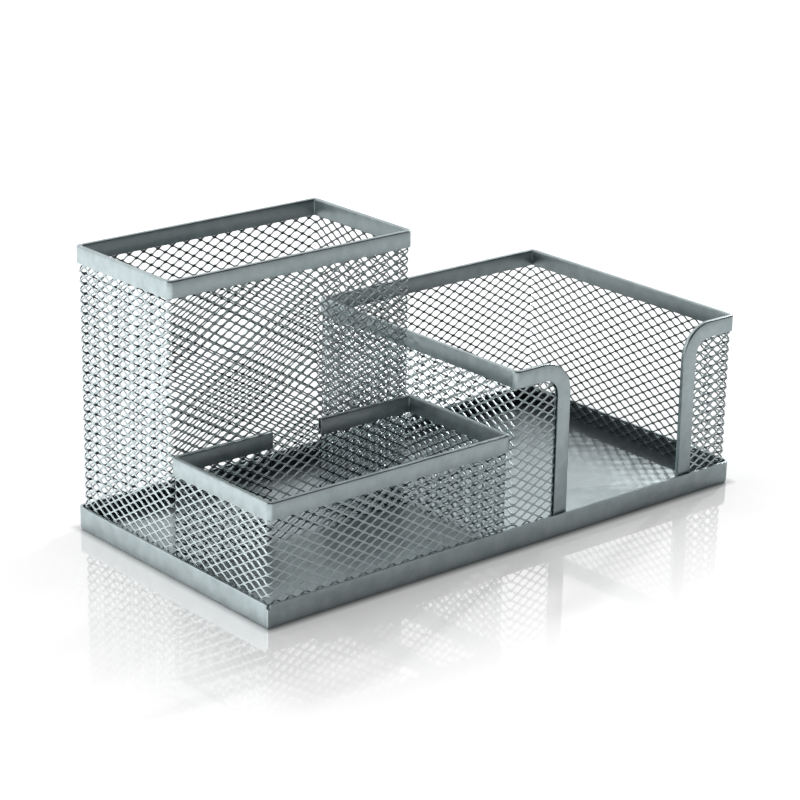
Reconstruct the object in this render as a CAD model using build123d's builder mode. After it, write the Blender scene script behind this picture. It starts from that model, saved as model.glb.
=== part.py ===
"""Wire desk organizer: a pen cup, a clip tray and a note holder of expanded steel mesh on one sheet base.

Millimetres, +Z up. The origin is on the table under the middle of the base. +X runs to the right along
the front edge and +Y to the back. The cup stands behind the tray on the left, the note holder on the right.
"""

import os
from math import hypot

from build123d import *

# Base: a band bent round the outside, with a floor plate lying on its turned-in flange
base_width = 205.0
base_depth = 105.0
band_height = 8.0
band_sheet = 0.8
band_bend = 1.8
band_flange = 4.0
flange_sheet = 1.0
seam_notch = 1.2
floor_sheet = 0.7

# Three mesh boxes: heights from the table, and the plan of the two on the left
pen_cup_height = 98.5
note_holder_height = 62.0
tray_height = 41.0
left_box_width = 98.2
tray_depth = 50.2
aisle = 1.4
tray_rear_gap = 20.0

# Note holder's front: each side up to the slot for fingers, and the inside bend from post into rim
front_side = 24.2
post_bend = 6.0

# Expanded mesh: the real diamonds and strands, and how many of them one modelled opening stands for
mesh_sheet = 0.8
mesh_long = 5.8
mesh_short = 3.4
mesh_strand = 0.6
diamonds_per_opening = 3

# Rims: a strip folded over the cut edge of the mesh and bent round the corners with it
rim_height = 5.8
rim_sheet = 0.45
rim_bend = 2.2

# Play between sheets that slide into one another, and between a rim and the wall behind it
play = 0.05
rim_clearance = 0.1

# Plan: outer faces of the mesh walls, and how far a corner's bend reaches along them
rim_overhang = rim_sheet + play
rim_thickness = mesh_sheet + 2 * rim_overhang
corner_reach = rim_bend - rim_overhang
wall_inset = band_sheet + play + rim_overhang
wall_left = -base_width / 2 + wall_inset
wall_right = base_width / 2 - wall_inset
wall_front = -base_depth / 2 + wall_inset
wall_rear = base_depth / 2 - wall_inset
left_box_right = wall_left + left_box_width
note_left = left_box_right + 2 * rim_overhang + aisle
tray_rear = wall_front + tray_depth
cup_front = tray_rear + rim_overhang + rim_clearance
note_middle = (note_left + wall_right) / 2
slot_left = note_left + front_side
front_left = note_left + corner_reach

# Modelled openings
opening_long = mesh_long * diamonds_per_opening
opening_short = mesh_short * diamonds_per_opening
strand = mesh_strand * diamonds_per_opening

# Levels: where the floor lies, and where the openings start above it
floor_top = flange_sheet + floor_sheet
mesh_foot = floor_top + strand

# Directions in plan
to_left = (-1, 0, 0)
to_right = (1, 0, 0)
to_front = (0, -1, 0)
to_rear = (0, 1, 0)

os.makedirs("parts", exist_ok=True)


def diamond_openings(middle, width, low, high):
    """Two interleaved grids of diamonds, with bonds on both upright edges, cut off at low and high."""
    columns = max(1, round(width / opening_long))
    rows = max(1, int((high - low) / opening_short))
    half_long = width / columns / 2
    half_short = (high - low) / rows / 2
    share = 1 - strand / 2 * hypot(half_long, half_short) / (half_long * half_short)
    tip = half_long * share
    crown = half_short * share
    diamond = [(-tip, 0), (0, -crown), (tip, 0), (0, crown)]
    with BuildSketch() as openings:
        with Locations((middle, (low + high) / 2)):
            with GridLocations(2 * half_long, 2 * half_short, columns, rows):
                Polygon(*diamond)
            with GridLocations(2 * half_long, 2 * half_short, columns + 1, rows + 1):
                Polygon(*diamond)
            Rectangle(width + 2 * half_long, high - low, mode=Mode.INTERSECT)
    return openings.sketch


def mesh_wall(x, y, inward, width, top):
    """A flat stretch of mesh, its outer face through x and y, from the floor up into its rim."""
    upper = top - rim_sheet
    along = Vector(0, 0, 1).cross(Vector(*inward))
    with BuildPart() as wall:
        with BuildSketch(Plane(origin=(x, y, 0), x_dir=along, z_dir=inward)):
            with Locations((0, (floor_top + upper) / 2)):
                Rectangle(width, upper - floor_top)
            add(diamond_openings(0, width, mesh_foot, top - rim_height), mode=Mode.SUBTRACT)
        extrude(amount=mesh_sheet)
    return wall.part


def rim_ring(left, right, front, rear, top):
    """A closed rim over the four walls of a box: a strip with a slot that takes the mesh from below."""
    width = right - left
    depth = rear - front
    inside = mesh_sheet + rim_overhang
    slot_depth = mesh_sheet + play
    plane = Plane(((left + right) / 2, (front + rear) / 2, top - rim_height))
    with BuildPart() as ring:
        with BuildSketch(plane) as strip:
            Rectangle(width + 2 * rim_overhang, depth + 2 * rim_overhang)
            fillet(strip.vertices(), rim_bend)
            Rectangle(width - 2 * inside, depth - 2 * inside, mode=Mode.SUBTRACT)
        extrude(amount=rim_height)
        with BuildSketch(plane) as slot:
            Rectangle(width + 2 * play, depth + 2 * play)
            fillet(slot.vertices(), rim_bend - rim_sheet)
            Rectangle(width - 2 * slot_depth, depth - 2 * slot_depth, mode=Mode.SUBTRACT)
        extrude(amount=rim_height - rim_sheet, mode=Mode.SUBTRACT)
    return ring.part


def note_front(low, margin):
    """Left half of the note holder's front up to its slot, taken in by margin from the rounded edge."""
    right = slot_left - margin
    high = note_holder_height - margin
    with BuildSketch() as half:
        with Locations((front_left, low)):
            Rectangle(right - front_left, high - low, align=(Align.MIN, Align.MIN))
        fillet(half.vertices().sort_by_distance((right, high))[0], post_bend + rim_height - margin)
    return half.sketch


def both_halves(half):
    return [half, mirror(half, about=Plane.YZ.offset(note_middle))]


def save(part, label):
    part.label = label
    export_step(part, f"parts/{label}.step")


# Base band, bent from one strip whose ends meet at the sharp front left corner
seam = (-base_width / 2, -base_depth / 2)
with BuildPart() as base_band:
    with BuildSketch() as band_plan:
        Rectangle(base_width, base_depth)
        fillet(band_plan.vertices().sort_by_distance(seam)[1:], band_bend + band_sheet)
    extrude(amount=band_height)
    with BuildSketch(Plane.XY.offset(flange_sheet)) as band_inside:
        Rectangle(base_width - 2 * band_sheet, base_depth - 2 * band_sheet)
        fillet(band_inside.vertices().sort_by_distance(seam)[1:], band_bend)
    extrude(amount=band_height - flange_sheet, mode=Mode.SUBTRACT)
    with BuildSketch():
        Rectangle(base_width - 2 * band_flange, base_depth - 2 * band_flange)
    extrude(amount=flange_sheet, mode=Mode.SUBTRACT)
    with Locations((*seam, band_height)):
        Box(2 * seam_notch, 2 * seam_notch, 2 * seam_notch, mode=Mode.SUBTRACT)
save(base_band.part, "base_band")

# Floor plate, on which all the mesh stands
with BuildPart() as floor_plate:
    with BuildSketch(Plane.XY.offset(flange_sheet)) as floor_plan:
        Rectangle(base_width - 2 * (band_sheet + play), base_depth - 2 * (band_sheet + play))
        fillet(floor_plan.vertices().sort_by_distance(seam)[1:], band_bend)
    extrude(amount=floor_sheet)
save(floor_plate.part, "floor_plate")

# Pen cup: its flat walls end where the bends at the corners start, which the rim alone goes round
left_middle = (wall_left + left_box_right) / 2
left_flat = left_box_width - 2 * corner_reach
cup_middle = (cup_front + wall_rear) / 2
cup_side = wall_rear - cup_front - 2 * corner_reach
cup_front_mesh = mesh_wall(left_middle, cup_front, to_rear, left_flat, pen_cup_height)
cup_rear_mesh = mesh_wall(left_middle, wall_rear, to_front, left_flat, pen_cup_height)
cup_left_mesh = mesh_wall(wall_left, cup_middle, to_right, cup_side, pen_cup_height)
cup_right_mesh = mesh_wall(left_box_right, cup_middle, to_left, cup_side, pen_cup_height)
cup_rim = rim_ring(wall_left, left_box_right, cup_front, wall_rear, pen_cup_height)
save(cup_front_mesh, "pen_cup_front_mesh")
save(cup_rear_mesh, "pen_cup_rear_mesh")
save(cup_left_mesh, "pen_cup_left_mesh")
save(cup_right_mesh, "pen_cup_right_mesh")
save(cup_rim, "pen_cup_rim")

# Clip tray: its strip of mesh and rim stops short on both sides of a gap in the middle of the rear
tray_middle = (wall_front + tray_rear) / 2
tray_side = tray_depth - 2 * corner_reach
tray_return = (left_flat - tray_rear_gap) / 2
return_offset = (tray_rear_gap + tray_return) / 2
tray_front_mesh = mesh_wall(left_middle, wall_front, to_rear, left_flat, tray_height)
tray_left_mesh = mesh_wall(wall_left, tray_middle, to_right, tray_side, tray_height)
tray_right_mesh = mesh_wall(left_box_right, tray_middle, to_left, tray_side, tray_height)
tray_rear_left_mesh = mesh_wall(left_middle - return_offset, tray_rear, to_front, tray_return, tray_height)
tray_rear_right_mesh = mesh_wall(left_middle + return_offset, tray_rear, to_front, tray_return, tray_height)
with BuildPart() as tray_rim:
    add(rim_ring(wall_left, left_box_right, wall_front, tray_rear, tray_height))
    with Locations((left_middle, tray_rear - mesh_sheet / 2, tray_height - rim_height / 2)):
        Box(tray_rear_gap, rim_thickness, rim_height, mode=Mode.SUBTRACT)
save(tray_front_mesh, "tray_front_mesh")
save(tray_left_mesh, "tray_left_mesh")
save(tray_right_mesh, "tray_right_mesh")
save(tray_rear_left_mesh, "tray_rear_left_mesh")
save(tray_rear_right_mesh, "tray_rear_right_mesh")
save(tray_rim.part, "tray_rim")

# Note holder: three full walls, and two halves of a front that leave the slot open
note_flat = wall_right - note_left - 2 * corner_reach
note_side = wall_rear - wall_front - 2 * corner_reach
note_left_mesh = mesh_wall(note_left, 0, to_right, note_side, note_holder_height)
note_right_mesh = mesh_wall(wall_right, 0, to_left, note_side, note_holder_height)
note_rear_mesh = mesh_wall(note_middle, wall_rear, to_front, note_flat, note_holder_height)
save(note_left_mesh, "note_left_mesh")
save(note_right_mesh, "note_right_mesh")
save(note_rear_mesh, "note_rear_mesh")

window_right = slot_left - rim_height
window_middle = (front_left + window_right) / 2
window_width = window_right - front_left
front_diamonds = diamond_openings(window_middle, window_width, mesh_foot, note_holder_height - rim_height)
with BuildSketch() as front_openings:
    add(note_front(mesh_foot, rim_height))
    add(front_diamonds, mode=Mode.INTERSECT)
with BuildPart() as front_left_mesh:
    with BuildSketch(Plane.XZ.offset(-wall_front)):
        add(note_front(floor_top, rim_sheet))
        add(front_openings.sketch, mode=Mode.SUBTRACT)
    extrude(amount=-mesh_sheet)
front_right_mesh = mirror(front_left_mesh.part, about=Plane.YZ.offset(note_middle))
save(front_left_mesh.part, "note_front_left_mesh")
save(front_right_mesh, "note_front_right_mesh")

# Its rim is one strip: up a post, round the left, rear and right, and down the other post
with BuildPart() as note_rim:
    add(rim_ring(note_left, wall_right, wall_front, wall_rear, note_holder_height))
    with Locations((note_middle, wall_front + mesh_sheet / 2, note_holder_height - rim_height / 2)):
        Box(note_flat, rim_thickness, rim_height, mode=Mode.SUBTRACT)
    with BuildSketch(Plane.XZ.offset(rim_overhang - wall_front)):
        add(both_halves(note_front(floor_top, 0)))
        add(both_halves(note_front(floor_top, rim_height)), mode=Mode.SUBTRACT)
    extrude(amount=-rim_thickness)
    with BuildSketch(Plane.XZ.offset(play - wall_front)):
        add(both_halves(note_front(floor_top, rim_sheet)))
    extrude(amount=-mesh_sheet - 2 * play, mode=Mode.SUBTRACT)
save(note_rim.part, "note_rim")
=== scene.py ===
from math import cos, pi, radians, sin, tan

import bpy
from mathutils import Matrix, Vector


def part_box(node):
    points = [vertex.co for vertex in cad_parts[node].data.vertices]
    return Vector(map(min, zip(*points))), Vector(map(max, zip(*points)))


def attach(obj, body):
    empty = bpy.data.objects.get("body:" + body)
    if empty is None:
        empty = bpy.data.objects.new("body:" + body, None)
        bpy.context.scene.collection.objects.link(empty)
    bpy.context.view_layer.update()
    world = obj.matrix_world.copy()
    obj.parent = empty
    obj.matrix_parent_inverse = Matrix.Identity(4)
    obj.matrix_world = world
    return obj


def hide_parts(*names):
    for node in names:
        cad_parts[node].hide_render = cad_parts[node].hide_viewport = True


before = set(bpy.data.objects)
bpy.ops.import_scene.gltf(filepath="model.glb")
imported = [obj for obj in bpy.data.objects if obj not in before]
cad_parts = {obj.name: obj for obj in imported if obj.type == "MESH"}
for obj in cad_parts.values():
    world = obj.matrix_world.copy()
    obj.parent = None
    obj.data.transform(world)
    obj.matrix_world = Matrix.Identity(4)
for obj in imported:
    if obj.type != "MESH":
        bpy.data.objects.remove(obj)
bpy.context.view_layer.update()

# Base band: a strip of sheet steel bent round the whole base, its ends butted at the sharp front left
# corner, where a small notch is left. A narrow flange is turned in under it, and the silver paint is
# sprayed on after the welding.
band_low, band_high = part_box("base_band")
plate_low, plate_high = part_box("floor_plate")
band_sheet = 0.0008
band_bend = 0.0026
band_flange = 0.004
band_fold = 0.0009
band_edge = 0.0002
notch_wide = 0.0009
notch_deep = 0.0013
corner_steps = 6
flange_steps = 4
edge_steps = 2
cut_angle = radians(50)
smooth_angle = radians(35)
hair = 0.00002


def pick(piece, kind, wanted):
    """Selects only the edges or faces whose middle passes the test, and stays in edit mode."""
    bpy.ops.object.mode_set(mode="EDIT")
    bpy.ops.mesh.select_mode(type=kind)
    bpy.ops.mesh.select_all(action="DESELECT")
    bpy.ops.object.mode_set(mode="OBJECT")
    points = piece.data.vertices
    if kind == "EDGE":
        for edge in piece.data.edges:
            first, last = edge.vertices
            edge.select = wanted((points[first].co + points[last].co) / 2)
    else:
        for face in piece.data.polygons:
            face.select = wanted(face.center)
    bpy.ops.object.mode_set(mode="EDIT")


def near(a, b):
    """Whether two places along an axis are the same, to within a hair."""
    return abs(a - b) < hair


def on_outline(p, low, high, bend):
    """Whether a point lies on a box's sides, or on its corners, which are rounded by the bend."""
    return min(p.x - low.x, high.x - p.x, p.y - low.y, high.y - p.y) < bend / 3


def blank(name, low, high):
    """A closed box of sheet between two corners, ready to be cut open and bent."""
    bpy.ops.object.select_all(action="DESELECT")
    bpy.ops.mesh.primitive_cube_add(size=1, location=(low + high) / 2, scale=high - low)
    bpy.ops.object.transform_apply(location=True, rotation=True, scale=True)
    piece = bpy.context.object
    piece.name = name
    piece.data.name = name
    return piece


def break_edges(piece, edge):
    """Rounds the cut edges of a sheet a little, and shades its bends smooth."""
    bpy.ops.object.mode_set(mode="OBJECT")
    broken = piece.modifiers.new("edge", "BEVEL")
    broken.width = edge
    broken.segments = edge_steps
    broken.limit_method = "ANGLE"
    broken.angle_limit = cut_angle
    bpy.ops.object.modifier_apply(modifier="edge")
    bpy.ops.object.shade_smooth_by_angle(angle=smooth_angle)


def thicken(piece, sheet, edge):
    """Gives a bent sheet its thickness on the inside, and breaks its cut edges."""
    bpy.ops.object.mode_set(mode="OBJECT")
    solid = piece.modifiers.new("sheet", "SOLIDIFY")
    solid.thickness = sheet
    solid.offset = -1
    solid.use_even_offset = True
    bpy.ops.object.modifier_apply(modifier="sheet")
    break_edges(piece, edge)


base_band = blank("base_band_sheet", band_low, band_high)
band_middle = (band_low.z + band_high.z) / 2
pick(base_band, "FACE", lambda p: near(p.z, band_high.z))
bpy.ops.mesh.delete(type="FACE")
pick(base_band, "EDGE", lambda p: near(p.z, band_middle) and (p.x > 0 or p.y > 0))
bpy.ops.mesh.bevel(offset=band_bend, segments=corner_steps, affect="EDGES")
pick(base_band, "FACE", lambda p: near(p.z, band_low.z))
bpy.ops.mesh.inset(thickness=band_flange)
bpy.ops.mesh.delete(type="FACE")
pick(base_band, "EDGE", lambda p: near(p.z, band_low.z) and on_outline(p, band_low, band_high, band_bend))
bpy.ops.mesh.bevel(offset=band_fold, segments=flange_steps, affect="EDGES")
for cut, normal in (
    ((0, 0, band_high.z - notch_deep), (0, 0, 1)),
    ((band_low.x + notch_wide, 0, 0), (1, 0, 0)),
    ((0, band_low.y + notch_wide, 0), (0, 1, 0)),
):
    pick(base_band, "FACE", lambda p: near(p.x, band_low.x) or near(p.y, band_low.y))
    bpy.ops.mesh.bisect(plane_co=cut, plane_no=normal)
pick(
    base_band,
    "FACE",
    lambda p: p.z > band_high.z - notch_deep
    and p.x < band_low.x + notch_wide
    and p.y < band_low.y + notch_wide,
)
bpy.ops.mesh.delete(type="FACE")
thicken(base_band, band_sheet, band_edge)

# Silver paint: a satin metallic coat that is sprayed on. One group gives each painted piece the flake in
# it, its cloudy tone and the slight unevenness of a sprayed surface. The inner faces get darker copies of
# the paint, which are painted shade.
silver_dark = (0.375, 0.44, 0.452)
silver_light = (0.52, 0.60, 0.613)
flake_tint = 0.45
cloud_dullness = 0.16
flake_height = 0.25
coat_depth = 0.0001
grain = bpy.data.node_groups.new("silver_grain", "ShaderNodeTree")
for name, way, kind in (
    ("Place", "INPUT", "NodeSocketVector"),
    ("Dark", "INPUT", "NodeSocketColor"),
    ("Light", "INPUT", "NodeSocketColor"),
    ("Satin", "INPUT", "NodeSocketFloat"),
    ("Color", "OUTPUT", "NodeSocketColor"),
    ("Roughness", "OUTPUT", "NodeSocketFloat"),
    ("Height", "OUTPUT", "NodeSocketFloat"),
):
    grain.interface.new_socket(name, in_out=way, socket_type=kind)
given = grain.nodes.new("NodeGroupInput")
put_out = grain.nodes.new("NodeGroupOutput")


def spray_noise(scale, detail):
    """A noise over the piece, for one of the unevennesses of the sprayed coat."""
    noise = grain.nodes.new("ShaderNodeTexNoise")
    noise.inputs["Scale"].default_value = scale
    noise.inputs["Detail"].default_value = detail
    grain.links.new(given.outputs["Place"], noise.inputs["Vector"])
    return noise.outputs["Fac"]


def reckon(tree, operation, *values):
    """Works out a value from other nodes' values and plain numbers."""
    node = tree.nodes.new("ShaderNodeMath")
    node.operation = operation
    for socket, value in zip(node.inputs, values):
        if isinstance(value, bpy.types.NodeSocket):
            tree.links.new(value, socket)
        else:
            socket.default_value = value
    return node.outputs["Value"]


def ramp(tree, value, ends, levels, course="LINEAR"):
    """Goes from the first level to the second between two ends of a value, and stays there beyond them."""
    node = tree.nodes.new("ShaderNodeMapRange")
    node.interpolation_type = course
    node.inputs["From Min"].default_value = ends[0]
    node.inputs["From Max"].default_value = ends[1]
    node.inputs["To Min"].default_value = levels[0]
    node.inputs["To Max"].default_value = levels[1]
    tree.links.new(value, node.inputs["Value"])
    return node.outputs["Result"]


flake = spray_noise(scale=2600, detail=2)
peel = spray_noise(scale=420, detail=1)
cloud = spray_noise(scale=240, detail=3)
cloud_tint = ramp(grain, cloud, ends=(0.33, 0.67), levels=(-0.05, 0.6))
tone = grain.nodes.new("ShaderNodeMix")
tone.data_type = "RGBA"
grain.links.new(reckon(grain, "MULTIPLY_ADD", flake, flake_tint, cloud_tint), tone.inputs["Factor"])
grain.links.new(given.outputs["Dark"], tone.inputs["A"])
grain.links.new(given.outputs["Light"], tone.inputs["B"])
grain.links.new(tone.outputs["Result"], put_out.inputs["Color"])
dullness = reckon(grain, "MULTIPLY_ADD", cloud, cloud_dullness, given.outputs["Satin"])
grain.links.new(dullness, put_out.inputs["Roughness"])
bumps = reckon(grain, "MULTIPLY_ADD", flake, flake_height, peel)
grain.links.new(bumps, put_out.inputs["Height"])


def silver_paint(name, dark, light, satin, metallic=1, relief=0.2):
    """A paint of its own tones and sheen, with the sprayed coat's grain."""
    paint = bpy.data.materials.new(name)
    paint.use_nodes = True
    nodes = paint.node_tree.nodes
    links = paint.node_tree.links
    shader = nodes["Principled BSDF"]
    shader.inputs["Metallic"].default_value = metallic
    place = nodes.new("ShaderNodeTexCoord")
    coat = nodes.new("ShaderNodeGroup")
    coat.node_tree = grain
    coat.inputs["Dark"].default_value = (*dark, 1)
    coat.inputs["Light"].default_value = (*light, 1)
    coat.inputs["Satin"].default_value = satin
    bump = nodes.new("ShaderNodeBump")
    bump.inputs["Strength"].default_value = relief
    bump.inputs["Distance"].default_value = coat_depth
    links.new(place.outputs["Object"], coat.inputs["Place"])
    links.new(coat.outputs["Color"], shader.inputs["Base Color"])
    links.new(coat.outputs["Roughness"], shader.inputs["Roughness"])
    links.new(coat.outputs["Height"], bump.inputs["Height"])
    links.new(bump.outputs["Normal"], shader.inputs["Normal"])
    return paint


def paint_with_inner_shade(piece, coat, inner_shade, lowest):
    """Paints a piece, and puts a darker copy of the paint, as painted shade, on the faces above a level
    that look towards its middle.
    """
    piece.data.materials.append(coat)
    piece.data.materials.append(inner_shade)
    corners = [Vector(corner) for corner in piece.bound_box]
    middle = (corners[0] + corners[6]) / 2
    for face in piece.data.polygons:
        inward = (middle - face.center).xy
        if face.center.z > lowest and face.normal.xy.dot(inward) > inward.length / 2:
            face.material_index = 1


def finished(piece, slot, *nodes):
    """Puts a painted piece in the frame, in place of the plain solids that it stands for."""
    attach(piece, "root")
    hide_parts(*nodes)


base_paint = silver_paint("base_paint", silver_dark, silver_light, satin=0.3)
# Painted shade: a nearly black copy of the paint for the band's inner faces above the floor plate.
inside_painted_shade = silver_paint(
    "inside_painted_shade", dark=(0.07, 0.082, 0.084), light=(0.12, 0.137, 0.14), satin=0.35
)
paint_with_inner_shade(base_band, base_paint, inside_painted_shade, lowest=plate_high.z)
finished(base_band, "base", "base_band")

# Floor plate: a flat sheet of steel, its corners rounded to fit inside the band. It lies on the band's
# flange, the mesh stands on it, and its paint is smoother and lighter than that of the bent pieces.
plate_edge = 0.00015
floor_plate = blank("floor_plate_sheet", plate_low, plate_high)
plate_middle = (plate_low.z + plate_high.z) / 2
pick(floor_plate, "EDGE", lambda p: near(p.z, plate_middle) and (p.x > 0 or p.y > 0))
bpy.ops.mesh.bevel(offset=band_bend - band_sheet, segments=corner_steps, affect="EDGES")
break_edges(floor_plate, plate_edge)
floor_paint = silver_paint(
    "floor_paint",
    dark=(0.54, 0.62, 0.633),
    light=(0.64, 0.735, 0.748),
    satin=0.25,
    metallic=0.9,
    relief=0.02,
)
floor_plate.data.materials.append(floor_paint)
finished(floor_plate, "base", "floor_plate")

# Mesh strips: sheet steel that is slit and stretched into diamonds, its strands leaning over and joined at
# short bonds. One strip is folded round the corners of each box, and its edges end inside the rims. The
# inner and lower faces of the strands get a dark copy of the paint, which is painted shade.
mesh_foot = plate_high.z
mesh_long = 0.0058
mesh_short = 0.0034
mesh_sheet = 0.0008
mesh_bend = 0.0013
bend_steps = 3
half_step = tan(pi / 4 / bend_steps)
bend_start = mesh_bend * (1 - half_step)
strand_wide = 0.00052
strand_sheet = 0.00034
strand_lean = radians(12)
bond_long = 0.0011
rim_cover = 0.003
weld = 0.00001
mostly = 0.5
mesh_paint = silver_paint("mesh_paint", dark=(0.43, 0.50, 0.513), light=(0.58, 0.667, 0.68), satin=0.26)
# Painted shade: a dark copy of the mesh paint for the strands' inner and lower faces.
mesh_shade = silver_paint(
    "mesh_shade", dark=(0.115, 0.134, 0.138), light=(0.185, 0.213, 0.218), satin=0.35
)


def flat_mesh(name, reach, bottom, top):
    """A flat, painted strip of mesh along X: one wave of a strand, its neighbour, and rows of both."""
    wave = 2 * reach / round(2 * reach / mesh_long)
    over = strand_wide * sin(strand_lean)
    up = strand_wide * cos(strand_lean)
    run = wave / 2 - bond_long
    rise = mesh_short / 2 - up
    waves = 2 * int(reach / wave + 1) + 1
    rows = int((top - bottom) / mesh_short) + 1
    start = -(waves // 2) * wave
    bpy.ops.object.select_all(action="DESELECT")
    bpy.ops.mesh.primitive_cube_add(
        size=1,
        location=(start, over / 2, bottom + up / 2),
        rotation=(-strand_lean, 0, 0),
        scale=(bond_long, strand_sheet, strand_wide),
    )
    bpy.ops.object.transform_apply(location=True, rotation=True, scale=True)
    piece = bpy.context.object
    piece.name = name
    piece.data.name = name
    pick(piece, "FACE", lambda p: near(p.x, start + bond_long / 2))
    bpy.ops.mesh.extrude_region_move(TRANSFORM_OT_translate={"value": (run, -over, rise)})
    bpy.ops.mesh.extrude_region_move(TRANSFORM_OT_translate={"value": (bond_long, 0, 0)})
    bpy.ops.mesh.extrude_region_move(TRANSFORM_OT_translate={"value": (run, over, -rise)})
    bpy.ops.mesh.delete(type="FACE")
    pick(piece, "FACE", lambda p: near(p.x, start - bond_long / 2))
    bpy.ops.mesh.delete(type="FACE")
    bpy.ops.mesh.select_all(action="SELECT")
    bpy.ops.mesh.duplicate_move(TRANSFORM_OT_translate={"value": (wave / 2, 0, mesh_short / 2)})
    bpy.ops.object.mode_set(mode="OBJECT")
    for step, count in (((wave, 0, 0), waves), ((0, 0, mesh_short), rows)):
        row = piece.modifiers.new("row", "ARRAY")
        row.use_relative_offset = False
        row.use_constant_offset = True
        row.constant_offset_displace = step
        row.count = count
        row.use_merge_vertices = True
        row.merge_threshold = weld
        bpy.ops.object.modifier_apply(modifier="row")
    bpy.ops.object.mode_set(mode="EDIT")
    for cut, normal in (
        ((reach, 0, 0), (1, 0, 0)),
        ((-reach, 0, 0), (-1, 0, 0)),
        ((0, 0, top), (0, 0, 1)),
    ):
        bpy.ops.mesh.select_all(action="SELECT")
        bpy.ops.mesh.bisect(plane_co=cut, plane_no=normal, clear_outer=True, use_fill=True)
    bpy.ops.object.mode_set(mode="OBJECT")
    piece.data.materials.append(mesh_paint)
    piece.data.materials.append(mesh_shade)
    # Painted shade: faces turned to the inner side or downwards get the dark copy of the paint.
    for face in piece.data.polygons:
        face.material_index = int(face.normal.y > mostly or face.normal.z < -mostly)
    bpy.ops.object.mode_set(mode="EDIT")
    return piece


def fold_lines(wide, deep):
    """Distances from the middle of a strip to its bends: a few small ones at each of two corners."""
    lines = []
    for corner in (wide / 2 - bend_start, deep - 2 * bend_start):
        first = corner + (lines[-1] if lines else 0)
        lines += [first + step * 2 * mesh_bend * half_step for step in range(bend_steps)]
    return lines


def fold(piece, lines):
    """Bends a flat strip at its lines to both sides, from its ends inwards, and leaves its middle in place.

    What lies beyond a line turns by a whole step, and the points on the line turn by half of it.
    """
    for line in lines:
        for side in (line, -line):
            bpy.ops.mesh.select_all(action="SELECT")
            bpy.ops.mesh.bisect(plane_co=(side, 0, 0), plane_no=(1, 0, 0))
    bpy.ops.object.mode_set(mode="OBJECT")
    flat = [point.co.x for point in piece.data.vertices]
    for line in reversed(lines):
        for turn, hinge in ((-1, line), (1, -line)):
            for share in (1, 0.5):
                bpy.ops.object.mode_set(mode="EDIT")
                bpy.ops.mesh.select_mode(type="VERT")
                bpy.ops.mesh.select_all(action="DESELECT")
                bpy.ops.object.mode_set(mode="OBJECT")
                for point, x in zip(piece.data.vertices, flat):
                    on_line = near(x, hinge)
                    beyond = (x - hinge) * hinge > 0 and not on_line
                    point.select = beyond if share == 1 else on_line
                bpy.ops.object.mode_set(mode="EDIT")
                bpy.ops.transform.rotate(
                    value=turn * share * pi / 2 / bend_steps, orient_axis="Z", center_override=(hinge, 0, 0)
                )
    bpy.ops.mesh.select_all(action="SELECT")


# Pen cup's mesh: the tallest strip, folded round all four corners. Its ends meet in the middle of the rear
# wall, and it stands on the floor plate.
cup_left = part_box("pen_cup_left_mesh")[0].x + mesh_sheet / 2
cup_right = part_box("pen_cup_right_mesh")[1].x - mesh_sheet / 2
cup_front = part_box("pen_cup_front_mesh")[0].y + mesh_sheet / 2
cup_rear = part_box("pen_cup_rear_mesh")[1].y - mesh_sheet / 2
cup_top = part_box("pen_cup_rim")[1].z
cup_lines = fold_lines(cup_right - cup_left, cup_rear - cup_front)
cup_reach = cup_lines[-1] + (cup_right - cup_left) / 2 - bend_start
cup_mesh = flat_mesh("pen_cup_mesh", cup_reach, mesh_foot, cup_top - rim_cover)
fold(cup_mesh, cup_lines)
bpy.ops.transform.translate(value=((cup_left + cup_right) / 2, cup_front, 0))
bpy.ops.object.mode_set(mode="OBJECT")
finished(
    cup_mesh,
    "mesh",
    "pen_cup_front_mesh",
    "pen_cup_rear_mesh",
    "pen_cup_left_mesh",
    "pen_cup_right_mesh",
)

# Clip tray's mesh: a low strip whose two ends stop short of each other in the rear wall, so the wall of
# the cup behind it shows through the gap.
tray_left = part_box("tray_left_mesh")[0].x + mesh_sheet / 2
tray_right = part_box("tray_right_mesh")[1].x - mesh_sheet / 2
tray_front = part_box("tray_front_mesh")[0].y + mesh_sheet / 2
tray_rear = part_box("tray_rear_left_mesh")[1].y - mesh_sheet / 2
tray_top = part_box("tray_rim")[1].z
gap_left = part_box("tray_rear_left_mesh")[1].x
gap_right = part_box("tray_rear_right_mesh")[0].x
tray_lines = fold_lines(tray_right - tray_left, tray_rear - tray_front)
tray_reach = tray_lines[-1] + gap_left - tray_left - bend_start
tray_mesh = flat_mesh("tray_mesh", tray_reach, mesh_foot, tray_top - rim_cover)
fold(tray_mesh, tray_lines)
bpy.ops.transform.translate(value=((tray_left + tray_right) / 2, tray_front, 0))
bpy.ops.object.mode_set(mode="OBJECT")
finished(
    tray_mesh,
    "mesh",
    "tray_front_mesh",
    "tray_left_mesh",
    "tray_right_mesh",
    "tray_rear_left_mesh",
    "tray_rear_right_mesh",
)

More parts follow.
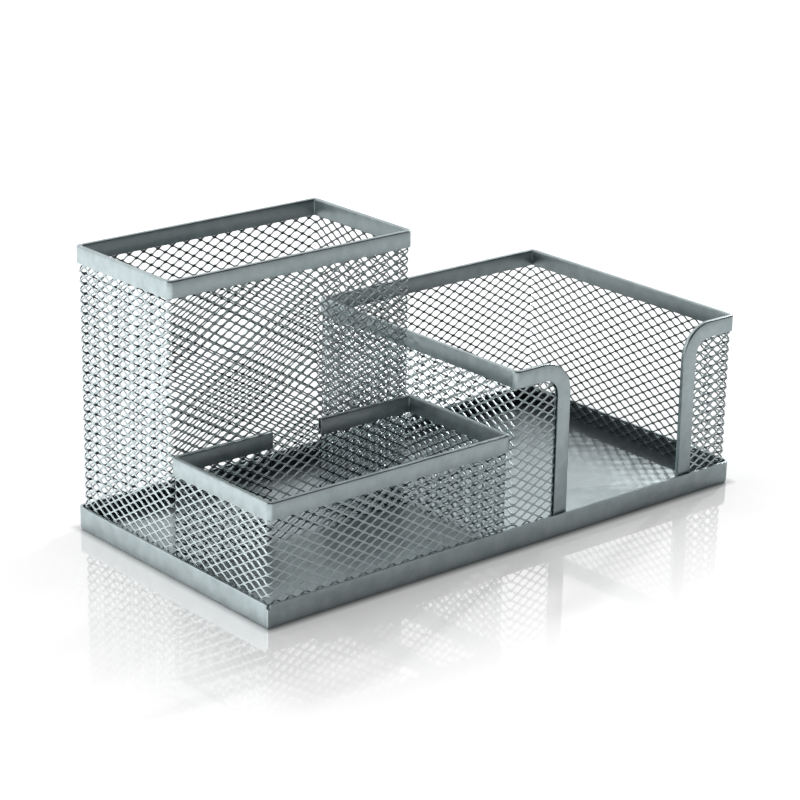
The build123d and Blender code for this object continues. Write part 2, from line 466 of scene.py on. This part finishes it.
# Note holder's mesh: a strip folded from the rear wall round both sides to the front, where its ends
# are cut round to follow the posts and leave the slot for the fingers.
note_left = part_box("note_left_mesh")[0].x + mesh_sheet / 2
note_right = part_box("note_right_mesh")[1].x - mesh_sheet / 2
note_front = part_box("note_front_left_mesh")[0].y + mesh_sheet / 2
note_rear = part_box("note_rear_mesh")[1].y - mesh_sheet / 2
note_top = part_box("note_rim")[1].z
rim_sheet = 0.00045
rim_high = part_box("pen_cup_rim")[1].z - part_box("pen_cup_rim")[0].z
post_inside = 0.006
post_bend = post_inside + rim_high
round_cuts = (22.5, 45, 67.5)
slot_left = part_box("note_front_left_mesh")[1].x + rim_sheet
slot_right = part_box("note_front_right_mesh")[0].x - rim_sheet
note_lines = fold_lines(note_right - note_left, note_rear - note_front)
slot_edge = note_lines[-1] + slot_left - note_left - bend_start
round_x = slot_edge - post_bend
round_z = note_top - post_bend
note_mesh = flat_mesh("note_mesh", slot_edge - rim_cover, mesh_foot, note_top - rim_cover)
for side in (1, -1):
    for angle in round_cuts:
        outward = Vector((side * cos(radians(angle)), 0, sin(radians(angle))))
        pick(note_mesh, "FACE", lambda p: side * p.x > round_x and p.z > round_z)
        bpy.ops.mesh.bisect(
            plane_co=Vector((side * round_x, 0, round_z)) + outward * (post_bend - rim_cover),
            plane_no=outward,
            clear_outer=True,
            use_fill=True,
        )
fold(note_mesh, note_lines)
bpy.ops.transform.rotate(value=pi, orient_axis="Z", center_override=(0, 0, 0))
bpy.ops.transform.translate(value=((note_left + note_right) / 2, note_rear, 0))
bpy.ops.object.mode_set(mode="OBJECT")
finished(
    note_mesh,
    "mesh",
    "note_left_mesh",
    "note_right_mesh",
    "note_rear_mesh",
    "note_front_left_mesh",
    "note_front_right_mesh",
)

# Rims: a strip of thin sheet folded over the cut edge of the mesh, with a rounded fold on top and round
# corners, spot welded through the mesh and painted with it, with a darker copy of the paint on the inside
# as painted shade.
rim_thick = 0.0018
rim_fold = 0.0005
rim_corner = 0.0022
rim_edge = 0.0001
rim_fold_steps = 3
rim_paint = silver_paint("rim_paint", silver_dark, silver_light, satin=0.3)
# Painted shade: a darker copy of the rim paint for the rims' inner faces.
rim_shade = silver_paint("rim_shade", dark=(0.285, 0.334, 0.343), light=(0.395, 0.456, 0.466), satin=0.3)


def folded_rim(name, low, high):
    """A closed ring of folded strip between two corners, still without its thickness."""
    rim = blank(name, low, high)
    inset = Vector((rim_thick, rim_thick, 0))
    inner_low, inner_high = low + inset, high - inset
    middle = (low.z + high.z) / 2

    def inside(p):
        return (
            inner_low.x - hair < p.x < inner_high.x + hair
            and inner_low.y - hair < p.y < inner_high.y + hair
        )

    def at_fold(p):
        return near(p.z, high.z) and (inside(p) or on_outline(p, low, high, rim_corner))

    pick(rim, "FACE", lambda p: not near(p.z, middle))
    bpy.ops.mesh.delete(type="FACE")
    pick(rim, "EDGE", lambda p: near(p.z, middle))
    bpy.ops.mesh.bevel(offset=rim_corner, segments=corner_steps, affect="EDGES")
    bpy.ops.mesh.primitive_cube_add(
        size=1, location=(inner_low + inner_high) / 2, scale=inner_high - inner_low
    )
    pick(rim, "FACE", lambda p: not near(p.z, middle))
    bpy.ops.mesh.delete(type="FACE")
    pick(rim, "EDGE", lambda p: near(p.z, middle) and inside(p))
    bpy.ops.mesh.bevel(offset=rim_corner - rim_thick, segments=corner_steps, affect="EDGES")
    pick(rim, "FACE", inside)
    bpy.ops.mesh.flip_normals()
    pick(rim, "EDGE", lambda p: near(p.z, high.z))
    bpy.ops.mesh.bridge_edge_loops()
    pick(rim, "EDGE", at_fold)
    bpy.ops.mesh.bevel(offset=rim_fold, segments=rim_fold_steps, affect="EDGES")
    return rim


# Pen cup's rim: a closed ring of the folded steel strip. It sits on the top edge of the cup's mesh and is
# painted with it.
cup_rim = folded_rim("pen_cup_rim_strip", *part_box("pen_cup_rim"))
thicken(cup_rim, rim_sheet, rim_edge)
paint_with_inner_shade(cup_rim, rim_paint, rim_shade, lowest=0)
finished(cup_rim, "rim", "pen_cup_rim")

# Clip tray's rim: the same folded strip on the tray's mesh. The ring is cut open behind, with the same gap
# as the mesh.
tray_rim_low, tray_rim_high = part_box("tray_rim")
rear_strip = tray_rim_high.y - 2 * rim_thick
tray_rim = folded_rim("tray_rim_strip", tray_rim_low, tray_rim_high)
for gap_edge in (gap_left, gap_right):
    pick(tray_rim, "FACE", lambda p: p.y > rear_strip)
    bpy.ops.mesh.bisect(plane_co=(gap_edge, 0, 0), plane_no=(1, 0, 0))
pick(tray_rim, "FACE", lambda p: p.y > rear_strip and gap_left < p.x < gap_right)
bpy.ops.mesh.delete(type="FACE")
thicken(tray_rim, rim_sheet, rim_edge)
paint_with_inner_shade(tray_rim, rim_paint, rim_shade, lowest=0)
finished(tray_rim, "rim", "tray_rim")

# Note holder's rim: one folded strip on the holder's mesh, bent down at both sides of the slot into posts
# that end on the base.
note_rim_low, note_rim_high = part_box("note_rim")
post_steps = 10
front_strip = note_rim_low.y + 2 * rim_thick
ring_low = Vector((note_rim_low.x, note_rim_low.y, note_rim_high.z - rim_high))
note_rim = folded_rim("note_rim_strip", ring_low, note_rim_high)
turn_left = slot_left - post_bend
turn_right = slot_right + post_bend
turn_high = note_rim_high.z - post_bend
for turn_edge in (turn_left, turn_right):
    pick(note_rim, "FACE", lambda p: p.y < front_strip)
    bpy.ops.mesh.bisect(plane_co=(turn_edge, 0, 0), plane_no=(1, 0, 0))
pick(note_rim, "FACE", lambda p: p.y < front_strip and turn_left < p.x < turn_right)
bpy.ops.mesh.delete(type="FACE")
for turn_edge, quarter in ((turn_left, -pi / 2), (turn_right, pi / 2)):
    pick(note_rim, "EDGE", lambda p: near(p.x, turn_edge) and p.y < front_strip)
    bpy.ops.mesh.spin(
        steps=post_steps,
        angle=quarter,
        center=(turn_edge, note_rim_low.y, turn_high),
        axis=(0, 1, 0),
    )
    bpy.ops.mesh.extrude_region_move(TRANSFORM_OT_translate={"value": (0, 0, note_rim_low.z - turn_high)})
bpy.ops.mesh.select_all(action="SELECT")
bpy.ops.mesh.remove_doubles(threshold=weld)
bpy.ops.mesh.normals_make_consistent(inside=False)
thicken(note_rim, rim_sheet, rim_edge)
paint_with_inner_shade(note_rim, rim_paint, rim_shade, lowest=0)
finished(note_rim, "rim", "note_rim")

# Table top: plain and white, with a polish that fades away from the base, so it keeps the object's shadow
# and a short reflection. It glows to the camera, up to the white of the room, and to the metal that
# mirrors it. To the metal it glows brighter on the side left of the base than elsewhere, a painted light
# for the band's left face, and round the base its glow is cut down in a thin line, which is painted shade.
table_wide = 12
table_tone = (0.7, 0.7, 0.7, 1)
camera_glow = 0.7
metal_glow = (1, 0.36)
metal_glow_step = 0.006
shade_wide = 0.003
shade_glow = 0.2
polish_roughness = 0.05
polish_share = 0.45
polish_reach = 0.075
bpy.ops.object.select_all(action="DESELECT")
bpy.ops.mesh.primitive_plane_add(size=table_wide)
table = bpy.context.object
table.name = "table_top"
white = bpy.data.materials.new("white_table")
white.use_nodes = True
tree = white.node_tree
matt = tree.nodes["Principled BSDF"]
matt.inputs["Base Color"].default_value = table_tone
matt.inputs["Roughness"].default_value = 1
matt.inputs["Specular IOR Level"].default_value = 0
matt.inputs["Emission Color"].default_value = (1, 1, 1, 1)
polish = tree.nodes.new("ShaderNodeBsdfGlossy")
polish.inputs["Roughness"].default_value = polish_roughness
sight = tree.nodes.new("ShaderNodeLightPath")
spot = tree.nodes.new("ShaderNodeTexCoord")


def vector_step(tree, operation, vector, other=(0, 0, 0)):
    """One step of working with a place or a direction."""
    node = tree.nodes.new("ShaderNodeVectorMath")
    node.operation = operation
    node.inputs[1].default_value = other
    tree.links.new(vector, node.inputs[0])
    return node


across = vector_step(tree, "ABSOLUTE", spot.outputs["Object"])
beside = vector_step(tree, "SUBTRACT", across.outputs["Vector"], (band_high.x, band_high.y, 0))
clear = vector_step(tree, "MAXIMUM", beside.outputs["Vector"])
away = vector_step(tree, "LENGTH", clear.outputs["Vector"]).outputs["Value"]
sides = tree.nodes.new("ShaderNodeSeparateXYZ")
tree.links.new(spot.outputs["Object"], sides.inputs["Vector"])
# Painted light: to the metal, the table glows brighter left of the base than elsewhere.
left_of_base = (band_low.x - metal_glow_step, band_low.x)
metal_side = ramp(tree, sides.outputs["X"], left_of_base, metal_glow)
mirrored = reckon(tree, "MULTIPLY", sight.outputs["Is Glossy Ray"], metal_side)
glow =reckon(tree, "MULTIPLY_ADD", sight.outputs["Is Camera Ray"], camera_glow, mirrored)
# Painted shade: the glow is dimmed in a thin line round the base.
shaded = reckon(tree, "MULTIPLY", glow, ramp(tree, away, (0, shade_wide), (shade_glow, 1)))
tree.links.new(shaded, matt.inputs["Emission Strength"])
blend = tree.nodes.new("ShaderNodeMixShader")
tree.links.new(ramp(tree, away, (0, polish_reach), (polish_share, 0)), blend.inputs["Fac"])
tree.links.new(matt.outputs["BSDF"], blend.inputs[1])
tree.links.new(polish.outputs["BSDF"], blend.inputs[2])
tree.links.new(blend.outputs["Shader"], tree.nodes["Material Output"].inputs["Surface"])
table.data.materials.append(white)

# Light: a small lamp at the right, large soft ones at the left, behind and above, all turned to the middle
# of the object. The room is dim, with a white backdrop behind the object, and the camera sees it white.
lamp_aim = Vector((0, 0, 0.04))
room_level = 0.04
backdrop_way = (0.3, 0.954, 0)
backdrop_ends = (0.1, 0.8)
for name, place, size, power in (
    ("right_lamp", (0.88, 0.3, 0.5), 0.05, 5),
    ("left_lamp", (-1.1, 0.35, 0.5), 0.8, 5),
    ("back_lamp", (-0.3, 1.0, 1.1), 0.8, 1.5),
    ("top_lamp", (0.3, -0.1, 1.0), 1.2, 0.4),
):
    lamp_data = bpy.data.lights.new(name, "AREA")
    lamp_data.size = size
    lamp_data.energy = power
    lamp = bpy.data.objects.new(name, lamp_data)
    lamp.location = place
    lamp.rotation_euler = (lamp_aim - Vector(place)).to_track_quat("-Z", "Y").to_euler()
    bpy.context.scene.collection.objects.link(lamp)
room = bpy.data.worlds.new("room")
room.use_nodes = True
bpy.context.scene.world = room
tree = room.node_tree
sky = tree.nodes["Background"]
sky.inputs["Color"].default_value = (1, 1, 1, 1)
facing = tree.nodes.new("ShaderNodeTexCoord")
heading = vector_step(tree, "DOT_PRODUCT", facing.outputs["Generated"], backdrop_way)
backdrop = ramp(tree, heading.outputs["Value"], backdrop_ends, (room_level, 1), course="SMOOTHSTEP")
sight = tree.nodes.new("ShaderNodeLightPath")
plain = reckon(tree, "MAXIMUM", sight.outputs["Is Camera Ray"], sight.outputs["Is Transmission Ray"])
tree.links.new(reckon(tree, "MAXIMUM", plain, backdrop), sky.inputs["Strength"])
bpy.context.scene.view_settings.view_transform = "Standard"

# Camera: a long lens, as for a catalogue picture. It looks from the front left and a little above, and is
# very slightly rolled.
camera_turn = -40.3658
camera_tilt = 19.4293
camera_roll = 0.9567
lens = bpy.data.cameras.new("camera")
lens.lens = 116.892
lens.sensor_width = 36
camera = bpy.data.objects.new("camera", lens)
camera.location = (-0.542842, -0.631062, 0.331496)
aim = (
    Matrix.Rotation(radians(camera_turn), 3, "Z")
    @ Matrix.Rotation(radians(90 - camera_tilt), 3, "X")
    @ Matrix.Rotation(radians(camera_roll), 3, "Z")
)
camera.rotation_euler = aim.to_euler()
bpy.context.scene.collection.objects.link(camera)
bpy.context.scene.camera = camera
